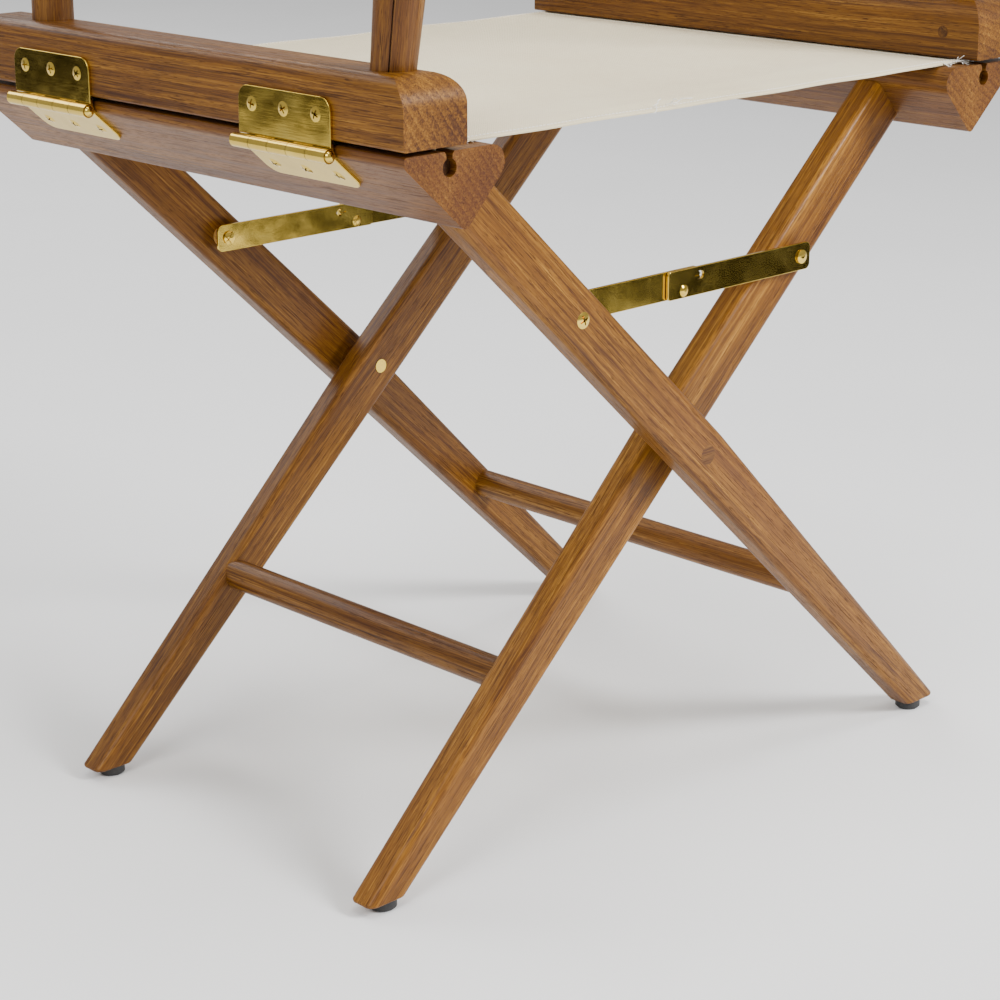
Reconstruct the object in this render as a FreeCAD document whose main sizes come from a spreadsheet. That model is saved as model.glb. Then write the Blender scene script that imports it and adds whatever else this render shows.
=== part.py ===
import FreeCAD, Part
import math
import os

from FreeCAD import Vector, Rotation, Placement

# Folding director chair.  +X is the sitter's left, +Y points to the back of
# the chair, +Z is up, z = 0 is the floor under the rubber feet.
os.makedirs("parts", exist_ok=True)
doc = FreeCAD.newDocument("director_chair")

# ----------------------------------------------------------------- dimensions
DIMS = [
    # crossed legs
    ("leg_half_spread", 184.0), ("leg_thick", 20.5), ("leg_gap", 12.0),
    ("leg_half_width", 18.0), ("leg_reach_up", 296.08), ("leg_foot_lo", -336.0),
    ("leg_foot_hi", -359.75), ("leg_foot_off", 4.0), ("leg_round", 5.0),
    ("leg_lean", 47.2), ("pivot_height", 248.0),
    # pivots, stretchers, feet
    ("bolt_radius", 3.95), ("bolt_hole", 4.0), ("bolt_head", 5.0),
    ("plug_radius", 6.5), ("plug_depth", 5.0), ("washer_radius", 9.0),
    ("dowel_radius", 10.5), ("dowel_drop", 187.0), ("dowel_socket", 10.0),
    ("foot_radius", 9.0), ("foot_height", 6.5), ("foot_reach", 246.0),
    # seat rails
    ("rail_length", 414.0), ("rail_out", 280.0), ("rail_top", 476.0),
    ("rail_land", 470.0), ("rail_apex_x", 235.0), ("rail_apex_z", 430.0),
    ("rail_inner_x", 192.4), ("key_x", 247.0), ("key_z", 467.0),
    ("key_radius", 5.2), ("key_slit", 4.6), ("rod_length", 404.0),
    # arm frames
    ("base_length", 418.0), ("base_in", 235.5), ("base_out", 282.0),
    ("base_low", 479.0), ("base_high", 518.0), ("base_round", 16.0),
    ("base_end_round", 18.0), ("post_x", 259.0), ("front_post_y", -143.0),
    ("front_post_radius", 13.0), ("back_post_y", 176.0), ("back_lean", 8.0),
    ("back_post_radius", 12.8), ("back_post_flare", 14.5),
    ("arm_low", 680.0), ("arm_thick", 20.0), ("arm_width", 60.0),
    ("arm_length", 480.0), ("arm_round", 7.0), ("post_top", 880.0),
    # hinges
    ("hinge_x", 286.0), ("hinge_z", 471.0), ("hinge_y", 112.0),
    ("hinge_length", 82.5), ("knuckle_radius", 4.2), ("pin_radius", 2.0),
    ("leaf_thick", 2.0), ("leaf_high", 502.5), ("leaf_low_run", 29.0),
    ("leaf_corner", 8.0), ("screw_pitch", 30.0), ("screw_head", 4.3),
    # braces
    ("brace_reach", 159.5), ("link_width", 18.5), ("link_thick", 2.0),
    ("link_tail", 15.0), ("spacer_radius", 6.5),
    # cloth
    ("cloth_front", -203.0), ("cloth_back", 195.0), ("cloth_thick", 1.7),
    ("back_low", 713.0), ("back_high", 870.0), ("sleeve_wall", 1.6),
]
sheet = doc.addObject("Spreadsheet::Sheet", "Dims")
V = {}
for i, (alias, value) in enumerate(DIMS):
    sheet.set("A%d" % (i + 1), alias)
    sheet.set("B%d" % (i + 1), repr(value))
    sheet.setAlias("B%d" % (i + 1), alias)
    V[alias] = value
doc.recompute()

D = "<<Dims>>."
NODES = []
LEAN = math.radians(V["leg_lean"])
US, UC = math.sin(LEAN), math.cos(LEAN)
YAO = V["leg_half_spread"]
YAI = YAO - V["leg_thick"]
YBO = YAI - V["leg_gap"]
YBI = YBO - V["leg_thick"]
ZP = V["pivot_height"]
E_YAI = "(" + D + "leg_half_spread - " + D + "leg_thick)"
E_YBO = "(" + D + "leg_half_spread - " + D + "leg_thick - " + D + "leg_gap)"
E_YBI = "(" + D + "leg_half_spread - 2 * " + D + "leg_thick - " + D + "leg_gap)"


def bind(obj, **expr):
    for prop, text in expr.items():
        obj.setExpression(prop.replace("__", "."), text)
    return obj


def place(obj, x, y, z, rot=None, ex=None, ey=None, ez=None):
    obj.Placement = Placement(Vector(x, y, z), rot or Rotation())
    for axis, text in (("x", ex), ("y", ey), ("z", ez)):
        if text:
            obj.setExpression("Placement.Base." + axis, text)
    return obj


def cyl(name, radius, height, e_r=None, e_h=None):
    o = doc.addObject("Part::Cylinder", name)
    o.Radius, o.Height = radius, height
    if e_r:
        o.setExpression("Radius", e_r)
    if e_h:
        o.setExpression("Height", e_h)
    return o


def cyl_at(name, radius, height, base, direction, e_r=None, e_h=None):
    o = cyl(name, radius, height, e_r, e_h)
    o.Placement = Placement(Vector(*base), Rotation(Vector(0, 0, 1), Vector(*direction)))
    return o


def box_at(name, lx, ly, lz, base, rot=None):
    o = doc.addObject("Part::Box", name)
    o.Length, o.Width, o.Height = lx, ly, lz
    o.Placement = Placement(Vector(*base), rot or Rotation())
    return o


def fuse(name, shapes):
    if len(shapes) == 1:
        return shapes[0]
    o = doc.addObject("Part::MultiFuse", name)
    o.Shapes = shapes
    o.Refine = False
    return o


def cut(name, base, tools):
    o = doc.addObject("Part::Cut", name)
    o.Base = base
    o.Tool = fuse(name + "_tools", tools)
    o.Refine = False
    return o


def node(obj, label):
    obj.Label = label
    NODES.append(obj)
    return obj


def plane(body, role):
    return [f for f in body.Origin.OriginFeatures if f.Role == role][0]


def sketch_lines(body, name, role, verts):
    """Closed polygon.  Every vertex is (x, y, x expression, y expression)."""
    import Sketcher
    sk = body.newObject("Sketcher::SketchObject", name)
    sk.AttachmentSupport = [(plane(body, role), "")]
    sk.MapMode = "FlatFace"
    n = len(verts)
    for i in range(n):
        a, b = verts[i], verts[(i + 1) % n]
        sk.addGeometry(Part.LineSegment(Vector(a[0], a[1], 0), Vector(b[0], b[1], 0)), False)
    for i in range(n):
        sk.addConstraint(Sketcher.Constraint("Coincident", i, 2, (i + 1) % n, 1))
    for i in range(n):
        for kind, k in (("DistanceX", 0), ("DistanceY", 1)):
            c = sk.addConstraint(Sketcher.Constraint(kind, -1, 1, i, 1, verts[i][k]))
            if verts[i][k + 2]:
                sk.setExpression("Constraints[%d]" % c, verts[i][k + 2])
    return sk


def pad(body, sk, name, length, e_len=None, reverse=False):
    p = body.newObject("PartDesign::Pad", name)
    p.Profile = sk
    p.Length = length
    p.Reversed = reverse
    if e_len:
        p.setExpression("Length", e_len)
    sk.Visibility = False
    return p


def edges_where(shape, test):
    return ["Edge%d" % (i + 1) for i, e in enumerate(shape.Edges) if test(e)]


def fillet(body, base, name, radius, test, e_r=None):
    doc.recompute()
    f = body.newObject("PartDesign::Fillet", name)
    f.Base = (base, edges_where(base.Shape, test))
    f.Radius = radius
    if e_r:
        f.setExpression("Radius", e_r)
    body.Tip = f
    return f


def ends(e):
    a, b = e.Vertexes[0].Point, e.Vertexes[-1].Point
    return a, b


def group(label, shapes):
    """Several identical separate solids held in one node."""
    o = doc.addObject("Part::Feature", label + "_set")
    o.Shape = Part.Compound(shapes)
    return node(o, label)


# ------------------------------------------------------------------- the legs
# A leg is drawn along its own length: u runs up the leg from the pivot, v
# across it.  The inner edge is straight; the outer edge tapers to the foot.
def leg(label, side, near):
    """side +1: outer pair (leans to +X), -1: inner pair.  near: rear leg."""
    body = doc.addObject("PartDesign::Body", label + "_blank")
    hw, up = V["leg_half_width"], V["leg_reach_up"]
    sk = sketch_lines(body, label + "_outline", "XY_Plane", [
        (up, -hw, D + "leg_reach_up", "-" + D + "leg_half_width"),
        (up, hw, D + "leg_reach_up", D + "leg_half_width"),
        (-5.0, hw, None, D + "leg_half_width"),
        (V["leg_foot_hi"], V["leg_foot_off"], D + "leg_foot_hi", D + "leg_foot_off"),
        (V["leg_foot_lo"], -hw, D + "leg_foot_lo", "-" + D + "leg_half_width")])
    p = pad(body, sk, label + "_pad", V["leg_thick"], D + "leg_thick")
    th = V["leg_thick"]

    def long_edge(e):
        a, b = ends(e)
        flat = abs(a.z - b.z) < 1e-6
        return flat and e.Length > 100.0

    def foot_edge(e):
        a, b = ends(e)
        return max(a.x, b.x) < -310.0 and e.Length < 60.0
    f1 = fillet(body, p, label + "_long_round", V["leg_round"], long_edge, D + "leg_round")
    fillet(body, f1, label + "_foot_round", 1.6, foot_edge)
    if side > 0:
        m = FreeCAD.Matrix(US, -UC, 0, 0, 0, 0, -1, 0, UC, US, 0, 0, 0, 0, 0, 1)
        y0 = YAO if near else -YAI
        ey = (D + "leg_half_spread") if near else "-" + E_YAI
    else:
        m = FreeCAD.Matrix(-US, UC, 0, 0, 0, 0, 1, 0, UC, US, 0, 0, 0, 0, 0, 1)
        y0 = YBI if near else -YBO
        ey = E_YBI if near else "-" + E_YBO
    body.Placement = Placement(m)
    rot = body.Placement.Rotation
    place(body, 0, y0, ZP, rot, ey=ey, ez=D + "pivot_height")
    # bores: pivot, brace, stretcher socket
    sy = 1.0 if near else -1.0
    tools = []
    bx = side * V["brace_reach"] * US
    bz = ZP + V["brace_reach"] * UC
    dx = -side * V["dowel_drop"] * US
    dz = ZP - V["dowel_drop"] * UC
    if side > 0:
        y_in = YAI
        # bolt bore and the plug's counterbore in the outer face
        tools.append(cyl_at(label + "_bolt_bore", V["bolt_radius"], 30.0, (0, sy * (y_in - 1), ZP), (0, sy, 0), D + "bolt_radius"))
        tools.append(cyl_at(label + "_plug_bore", V["plug_radius"], 20.0, (0, sy * (YAO - V["plug_depth"]), ZP), (0, sy, 0), D + "plug_radius"))
        if near:
            tools.append(screw_tool(label + "_screw_bore", (bx, YAO, bz), (0, 1, 0), 5.2, 2.5, 30.0))
        else:
            tools.append(cyl_at(label + "_stud_bore", 2.5, 14.0, (bx, -YAI + 1, bz), (0, -1, 0)))
    else:
        y_in = YBI
        tools.append(cyl_at(label + "_bolt_bore", V["bolt_hole"], 40.0, (0, sy * (y_in - 1), ZP), (0, sy, 0), D + "bolt_hole"))
        tools.append(cyl_at(label + "_head_bore", V["bolt_head"] + 0.3, 3.3, (0, sy * (y_in - 0.001), ZP), (0, sy, 0)))
        if near:
            tools.append(cyl_at(label + "_stud_bore", 2.5, 14.0, (bx, YBO + 1, bz), (0, -1, 0)))
        else:
            tools.append(screw_tool(label + "_screw_bore", (bx, -YBI, bz), (0, 1, 0), 5.2, 2.5, 30.0))
    tools.append(cyl_at(label + "_dowel_socket", V["dowel_radius"], V["dowel_socket"] + 1.0,
                        (dx, sy * (y_in - 1), dz), (0, sy, 0), D + "dowel_radius", D + "dowel_socket + 1"))
    return node(cut(label + "_bored", body, tools), label)


def screw_tool(name, head, out, r_head, r_shank, length):
    """Countersink and shank bore; head = centre of the flush face."""
    c = doc.addObject("Part::Cone", name + "_sink")
    c.Radius1, c.Radius2, c.Height = r_shank, r_head, r_head - r_shank
    o = Vector(*out)
    c.Placement = Placement(Vector(*head) - o * (r_head - r_shank), Rotation(Vector(0, 0, 1), o))
    top = cyl_at(name + "_mouth", r_head, 3.0, head, out)
    s = cyl_at(name + "_shank", r_shank, length, tuple(Vector(*head) - o * length), out)
    return fuse(name, [c, top, s])


def screw_shape(head, out, r_head, r_shank, length, dome=0.9, turn=20.0):
    """Countersunk cross-recess screw with a low domed head."""
    o = Vector(*out)
    rot = Rotation(Vector(0, 0, 1), o)
    k = r_head - r_shank
    cone = Part.makeCone(r_shank, r_head, k, Vector(0, 0, -k))
    shank = Part.makeCylinder(r_shank - 0.1, length - k - 0.2, Vector(0, 0, -length + 0.2))
    big = (r_head * r_head + dome * dome) / (2.0 * dome)
    cap = Part.makeSphere(big, Vector(0, 0, dome - big)).common(Part.makeCylinder(r_head, dome + 1.0))
    body = cone.fuse([shank, cap])
    w, l, d = r_head * 0.20, r_head * 1.25, r_head * 0.55
    for a in (0.0, 90.0):
        slot = Part.makeBox(l, w, d + 2.0, Vector(-l / 2, -w / 2, dome - d))
        slot.rotate(Vector(), Vector(0, 0, 1), a + turn)
        body = body.cut(slot)
    body.Placement = Placement(Vector(*head), rot)
    return body


legs = {}
for side, near, label in ((1, True, "leg_outer_rear"), (1, False, "leg_outer_front"),
                          (-1, True, "leg_inner_rear"), (-1, False, "leg_inner_front")):
    legs[label] = leg(label, side, near)

# -------------------------------------------------------- pivots and stretchers
bolts, spacers, plugs = [], [], []
for end_name, sy in (("rear", 1.0), ("front", -1.0)):
    shaft_len = (YAO - V["plug_depth"]) - (YBI + 3.0)
    shaft = cyl_at("pivot_shaft_" + end_name, V["bolt_radius"], shaft_len, (0, sy * (YBI + 3.0), ZP), (0, sy, 0), D + "bolt_radius")
    head = cyl_at("pivot_head_" + end_name, V["bolt_head"], 3.2, (0, sy * (YBI - 0.2), ZP), (0, sy, 0), D + "bolt_head")
    bolts.append(fuse("pivot_bolt_" + end_name, [shaft, head]))
    ring = cyl_at("pivot_ring_" + end_name, V["washer_radius"], V["leg_gap"] - 0.3, (0, sy * (YBO + 0.3), ZP), (0, sy, 0),
                  D + "washer_radius", D + "leg_gap - 0.3")
    bore = cyl_at("pivot_ring_bore_" + end_name, V["bolt_radius"], 40.0, (0, sy * (YBO - 5), ZP), (0, sy, 0), D + "bolt_radius")
    spacers.append(cut("pivot_spacer_" + end_name, ring, [bore]))
    plugs.append(cyl_at("pivot_plug_" + end_name, V["plug_radius"], V["plug_depth"], (0, sy * (YAO - V["plug_depth"]), ZP), (0, sy, 0),
                        D + "plug_radius", D + "plug_depth"))
node(fuse("pivot_bolts_pair", bolts), "pivot_bolts")
node(fuse("pivot_spacers_pair", spacers), "pivot_spacers")
node(fuse("pivot_plugs_pair", plugs), "pivot_plugs")
for label, side, y_in, e_in in (("stretcher_outer", 1, YAI, E_YAI), ("stretcher_inner", -1, YBI, E_YBI)):
    half = y_in + V["dowel_socket"]
    o = cyl(label + "_dowel", V["dowel_radius"], 2 * half, D + "dowel_radius", "2 * (" + e_in + " + " + D + "dowel_socket)")
    place(o, -side * V["dowel_drop"] * US, half, ZP - V["dowel_drop"] * UC, Rotation(Vector(0, 0, 1), Vector(0, -1, 0)),
          ey=e_in + " + " + D + "dowel_socket")
    node(o, label)
for label, side, yc in (("foot_outer_rear", 1, (YAO + YAI) / 2), ("foot_outer_front", 1, -(YAO + YAI) / 2),
                        ("foot_inner_rear", -1, (YBO + YBI) / 2), ("foot_inner_front", -1, -(YBO + YBI) / 2)):
    body = doc.addObject("PartDesign::Body", label + "_glide")
    r, hh = V["foot_radius"], V["foot_height"]
    sk = sketch_lines(body, label + "_half", "XZ_Plane", [
        (0.0, 0.0, None, None), (r - 1.2, 0.0, D + "foot_radius - 1.2", None), (r, 1.2, D + "foot_radius", None),
        (r, hh, D + "foot_radius", D + "foot_height"), (0.0, hh, None, D + "foot_height")])
    rv = body.newObject("PartDesign::Revolution", label + "_turn")
    rv.Profile = sk
    rv.ReferenceAxis = (sk, ["V_Axis"])
    rv.Angle = 360.0
    place(body, -side * V["foot_reach"], yc, 0.0, ex=("-" if side > 0 else "") + D + "foot_reach")
    node(body, label)


# ------------------------------------------------------------------ seat rails
def seat_rail(label, sx):
    body = doc.addObject("PartDesign::Body", label + "_blank")
    s = "" if sx > 0 else "-"
    sk = sketch_lines(body, label + "_section", "XZ_Plane", [
        (sx * V["rail_out"], V["rail_top"], s + D + "rail_out", D + "rail_top"),
        (sx * V["rail_out"], V["rail_land"], s + D + "rail_out", D + "rail_land"),
        (sx * V["rail_apex_x"], V["rail_apex_z"], s + D + "rail_apex_x", D + "rail_apex_z"),
        (sx * V["rail_inner_x"], V["rail_top"], s + D + "rail_inner_x", D + "rail_top")])
    p = pad(body, sk, label + "_pad", V["rail_length"], D + "rail_length")

    def along(x, z):
        def test(e):
            a, b = ends(e)
            return abs(a.x - b.x) < 1e-6 and abs(a.z - b.z) < 1e-6 and abs(a.x - sx * x) < 0.5 and abs(a.z - z) < 0.5
        return test
    f = fillet(body, p, label + "_inner_round", 10.0, along(V["rail_inner_x"], V["rail_top"]))
    f = fillet(body, f, label + "_apex_round", 4.0, along(V["rail_apex_x"], V["rail_apex_z"]))
    f = fillet(body, f, label + "_land_round", 4.0, along(V["rail_out"], V["rail_land"]))
    fillet(body, f, label + "_top_round", 1.6, along(V["rail_out"], V["rail_top"]))
    place(body, 0, V["rail_length"] / 2, 0, ey=D + "rail_length / 2")
    kx, kz, half = sx * V["key_x"], V["key_z"], V["rail_length"] / 2
    bore = cyl_at(label + "_rod_bore", V["key_radius"], 2 * half + 20, (kx, -half - 10, kz), (0, 1, 0), D + "key_radius")
    w = V["key_slit"]
    slit = box_at(label + "_slit", w, 2 * half + 20, 20.0, (kx - w / 2, -half - 10, kz))
    flare = doc.addObject("Part::Wedge", label + "_flare")
    flare.Xmin, flare.Xmax = -w / 2, w / 2
    flare.X2min, flare.X2max = -w / 2 - 1.6, w / 2 + 1.6
    flare.Ymin, flare.Ymax = 0.0, 1.8
    flare.Zmin, flare.Zmax, flare.Z2min, flare.Z2max = 0.0, 2 * half + 20, 0.0, 2 * half + 20
    flare.Placement = Placement(Vector(kx, half + 10, V["rail_top"] - 1.7), Rotation(Vector(1, 0, 0), 90))
    tools = [bore, slit, flare]
    # pilot holes of the lower hinge leaves
    for yc in (V["hinge_y"], -V["hinge_y"]):
        for k in (-1, 0, 1):
            head, out = lower_screw(sx, yc, k)
            tools.append(cyl_at(label + "_pilot", 1.6, 12.0, tuple(Vector(*head) - Vector(*out) * 11.5), out))
            tools.append(cyl_at(label + "_pilot_mouth", 2.35, 0.85, tuple(Vector(*head) - Vector(*out) * 2.75), out))
    return node(cut(label + "_grooved", body, tools), label)


# outward normal and run of the sloping face that takes the lower leaves
SLOPE = Vector(V["rail_apex_x"] - V["rail_out"], 0, V["rail_apex_z"] - V["rail_land"])
SLOPE.normalize()
NORMAL = Vector(-SLOPE.z, 0, SLOPE.x)


def lower_screw(sx, yc, k):
    base = Vector(V["rail_out"], 0, V["rail_land"])
    foot = base + SLOPE * 17.5 + NORMAL * V["leaf_thick"]
    return (sx * foot.x, yc + k * V["screw_pitch"] * 0.92, foot.z), (sx * NORMAL.x, 0.0, NORMAL.z)


def upper_screw(sx, yc, k):
    return (sx * (V["base_out"] + V["leaf_thick"]), yc + k * V["screw_pitch"] * 0.92, 492.3), (float(sx), 0.0, 0.0)


rails = {}
for label, sx in (("seat_rail_left", 1), ("seat_rail_right", -1)):
    rails[label] = seat_rail(label, sx)
for label, sx in (("seat_rod_left", 1), ("seat_rod_right", -1)):
    o = cyl(label + "_dowel", V["key_radius"], V["rod_length"], D + "key_radius", D + "rod_length")
    place(o, sx * V["key_x"], V["rod_length"] / 2, V["key_z"], Rotation(Vector(0, 0, 1), Vector(0, -1, 0)),
          ex=("" if sx > 0 else "-") + D + "key_x", ey=D + "rod_length / 2", ez=D + "key_z")
    node(o, label)

# ------------------------------------------------------------------ arm frames
LB = math.radians(V["back_lean"])
BDIR = Vector(0, math.sin(LB), math.cos(LB))


def back_axis(z):
    """Point on the leaning back post's axis at height z."""
    return V["back_post_y"] + (z - V["base_high"]) * math.tan(LB)


def base_rail(label, sx):
    s = "" if sx > 0 else "-"
    a = doc.addObject("PartDesign::Body", label + "_section_bar")
    sk = sketch_lines(a, label + "_section", "XZ_Plane", [
        (sx * V["base_out"], V["base_low"], s + D + "base_out", D + "base_low"),
        (sx * V["base_out"], V["base_high"], s + D + "base_out", D + "base_high"),
        (sx * V["base_in"], V["base_high"], s + D + "base_in", D + "base_high"),
        (sx * V["base_in"], V["base_low"], s + D + "base_in", D + "base_low")])
    p = pad(a, sk, label + "_bar_pad", V["base_length"], D + "base_length")

    def along(x, z):
        def test(e):
            q, b = ends(e)
            return abs(q.x - b.x) < 1e-6 and abs(q.z - b.z) < 1e-6 and abs(q.x - sx * x) < 0.5 and abs(q.z - z) < 0.5
        return test
    f = fillet(a, p, label + "_inner_round", V["base_round"], along(V["base_in"], V["base_high"]), D + "base_round")
    f = fillet(a, f, label + "_outer_round", 9.0, along(V["base_out"], V["base_high"]))

    def low(e):
        q, b = ends(e)
        return abs(q.z - V["base_low"]) < 0.01 and abs(b.z - V["base_low"]) < 0.01 and abs(q.x - b.x) < 0.01
    f = fillet(a, f, label + "_low_round", 1.5, low)
    place(a, 0, V["base_length"] / 2, 0, ey=D + "base_length / 2")
    # side outline with the rounded upper ends
    b = doc.addObject("PartDesign::Body", label + "_side_bar")
    half = V["base_length"] / 2
    sk2 = sketch_lines(b, label + "_side", "YZ_Plane", [
        (-half, V["base_low"] - 5, "-" + D + "base_length / 2", None), (half, V["base_low"] - 5, D + "base_length / 2", None),
        (half, V["base_high"], D + "base_length / 2", D + "base_high"), (-half, V["base_high"], "-" + D + "base_length / 2", D + "base_high")])
    p2 = pad(b, sk2, label + "_side_pad", 80.0)

    def corner(e):
        q, w = ends(e)
        return abs(q.y - w.y) < 1e-6 and abs(q.z - w.z) < 1e-6 and abs(q.z - V["base_high"]) < 0.5
    fillet(b, p2, label + "_end_round", V["base_end_round"], corner, D + "base_end_round")
    place(b, 220.0 if sx > 0 else -300.0, 0, 0)
    c = doc.addObject("Part::Common", label + "_bar")
    c.Base, c.Tool = a, b
    tools = []
    px = sx * V["post_x"]
    tools.append(cyl_at(label + "_front_socket", V["front_post_radius"], 40.0, (px, V["front_post_y"], V["base_high"] - 12.0), (0, 0, 1), D + "front_post_radius"))
    tools.append(cyl_at(label + "_back_socket", V["back_post_radius"], 60.0,
                        (px, back_axis(V["base_high"] - 12.0), V["base_high"] - 12.0), tuple(BDIR), D + "back_post_radius"))
    for yp in (V["front_post_y"], V["back_post_y"] + 4.0):
        tools.append(cyl_at(label + "_plug_bore", 4.0, 5.0, (sx * (V["base_in"] - 1.0), yp, 496.0), (sx, 0, 0)))
    for yc in (V["hinge_y"], -V["hinge_y"]):
        for k in (-1, 0, 1):
            head, out = upper_screw(sx, yc, k)
            tools.append(cyl_at(label + "_pilot", 1.6, 12.0, tuple(Vector(*head) - Vector(*out) * 11.5), out))
            tools.append(cyl_at(label + "_pilot_mouth", 2.35, 0.85, tuple(Vector(*head) - Vector(*out) * 2.75), out))
    return node(cut(label + "_drilled", c, tools), label)


for side_name, sx in (("left", 1), ("right", -1)):
    px = sx * V["post_x"]
    e_px = ("" if sx > 0 else "-") + D + "post_x"
    base_rail("base_rail_" + side_name, sx)
    # small plugs that hide the post pins, on the inner face
    plugs = [Part.makeCylinder(4.0, 4.2, Vector(sx * (V["base_in"] - 0.2), yp, 496.0), Vector(sx, 0, 0))
             for yp in (V["front_post_y"], V["back_post_y"] + 4.0)]
    group("post_plugs_" + side_name, plugs)
    z0 = V["base_high"] - 12.0
    o = cyl("front_post_%s_turned" % side_name, V["front_post_radius"], V["arm_low"] + 8.0 - z0, D + "front_post_radius",
            D + "arm_low + 8 - (" + D + "base_high - 12)")
    place(o, px, V["front_post_y"], z0, ex=e_px, ey=D + "front_post_y", ez=D + "base_high - 12")
    node(o, "front_post_" + side_name)
    # back post: round foot, flaring trunk, tapered top, with a fine kerf
    lab = "back_post_" + side_name
    body = doc.addObject("PartDesign::Body", lab + "_turned")
    r0, r1 = V["back_post_radius"], V["back_post_flare"]
    top = (V["post_top"] - z0) / math.cos(LB)
    sk = sketch_lines(body, lab + "_half", "XZ_Plane", [
        (0.0, 0.0, None, None), (r0, 0.0, D + "back_post_radius", None), (r0, 13.5, D + "back_post_radius", None),
        (r1, 62.0, D + "back_post_flare", None), (r1, 168.0, D + "back_post_flare", None),
        (11.0, 205.0, None, None), (11.0, top - 5.0, None, None), (7.0, top, None, None), (0.0, top, None, None)])
    rv = body.newObject("PartDesign::Revolution", lab + "_turn")
    rv.Profile = sk
    rv.ReferenceAxis = (sk, ["V_Axis"])
    rv.Angle = 360.0
    place(body, px, back_axis(z0), z0, Rotation(Vector(0, 0, 1), BDIR), ex=e_px)
    ang = math.radians(36.0)
    out = Vector(sx * math.cos(ang), math.sin(ang), 0)
    kerf = doc.addObject("Part::Box", lab + "_kerf")
    kerf.Length, kerf.Width, kerf.Height = 4.0, 0.9, 155.0
    rot = Rotation(Vector(0, 0, 1), BDIR).multiply(Rotation(Vector(0, 0, 1), math.degrees(math.atan2(out.y, out.x))))
    kerf.Placement = Placement(Vector(px, back_axis(z0), z0), Rotation()).multiply(
        Placement(Vector(0, 0, 0), rot)).multiply(Placement(Vector(r0 - 1.6, -0.45, 12.2), Rotation(Vector(0, 1, 0), 1.4)))
    node(cut(lab + "_kerfed", body, [kerf]), lab)
    # armrest board
    lab = "armrest_" + side_name
    body = doc.addObject("PartDesign::Body", lab + "_blank")
    hw, hl = V["arm_width"] / 2, V["arm_length"] / 2
    sk = sketch_lines(body, lab + "_plan", "XY_Plane", [
        (-hw, -hl, "-" + D + "arm_width / 2", "-" + D + "arm_length / 2"), (hw, -hl, D + "arm_width / 2", "-" + D + "arm_length / 2"),
        (hw, hl, D + "arm_width / 2", D + "arm_length / 2"), (-hw, hl, "-" + D + "arm_width / 2", D + "arm_length / 2")])
    p = pad(body, sk, lab + "_pad", V["arm_thick"], D + "arm_thick")
    f = fillet(body, p, lab + "_corner_round", 18.0, lambda e: abs(e.Vertexes[0].Point.z - e.Vertexes[-1].Point.z) > 5)
    fillet(body, f, lab + "_edge_round", V["arm_round"],
           lambda e: abs(e.Vertexes[0].Point.z - e.Vertexes[-1].Point.z) < 1e-6, D + "arm_round")
    place(body, px, 0, V["arm_low"], ex=e_px, ez=D + "arm_low")
    socket = cyl_at(lab + "_front_socket", V["front_post_radius"], 18.0, (px, V["front_post_y"], V["arm_low"] - 10.0), (0, 0, 1), D + "front_post_radius")
    hole = cyl_at(lab + "_back_hole", V["back_post_flare"] + 0.02, 80.0, (px, back_axis(V["arm_low"] - 20.0), V["arm_low"] - 20.0), tuple(BDIR))
    node(cut(lab + "_bored", body, [socket, hole]), lab)

    # ------------------------------------------------------------- hinges
    for end_name, yc in (("rear", V["hinge_y"]), ("front", -V["hinge_y"])):
        L, kr, pr, lt = V["hinge_length"], V["knuckle_radius"], V["pin_radius"], V["leaf_thick"]
        seg = L / 5.0
        hx, hz = sx * V["hinge_x"], V["hinge_z"]
        tag = "hinge_%s_%s" % (side_name, end_name)
        y0 = yc - L / 2
        # lower leaf: plate on the sloping face with knuckles 1, 3 and 5
        body = doc.addObject("PartDesign::Body", tag + "_lower_plate")
        leaf = L - 3.0
        sk = sketch_lines(body, tag + "_lower_outline", "XY_Plane", [
            (-4.0, -leaf / 2, None, None), (V["leaf_low_run"], -leaf / 2, D + "leaf_low_run", None),
            (V["leaf_low_run"], leaf / 2, D + "leaf_low_run", None), (-4.0, leaf / 2, None, None)])
        p = pad(body, sk, tag + "_lower_pad", lt, D + "leaf_thick")
        f = fillet(body, p, tag + "_lower_corners", V["leaf_corner"],
                   lambda e: abs(e.Vertexes[0].Point.z - e.Vertexes[-1].Point.z) > 1 and e.Vertexes[0].Point.x > 10, D + "leaf_corner")
        fillet(body, f, tag + "_lower_ease", 0.5,
               lambda e: abs(e.Vertexes[0].Point.z - V["leaf_thick"]) < 1e-6 and abs(e.Vertexes[-1].Point.z - V["leaf_thick"]) < 1e-6
               and max(e.Vertexes[0].Point.x, e.Vertexes[-1].Point.x) > -3.9)
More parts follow.
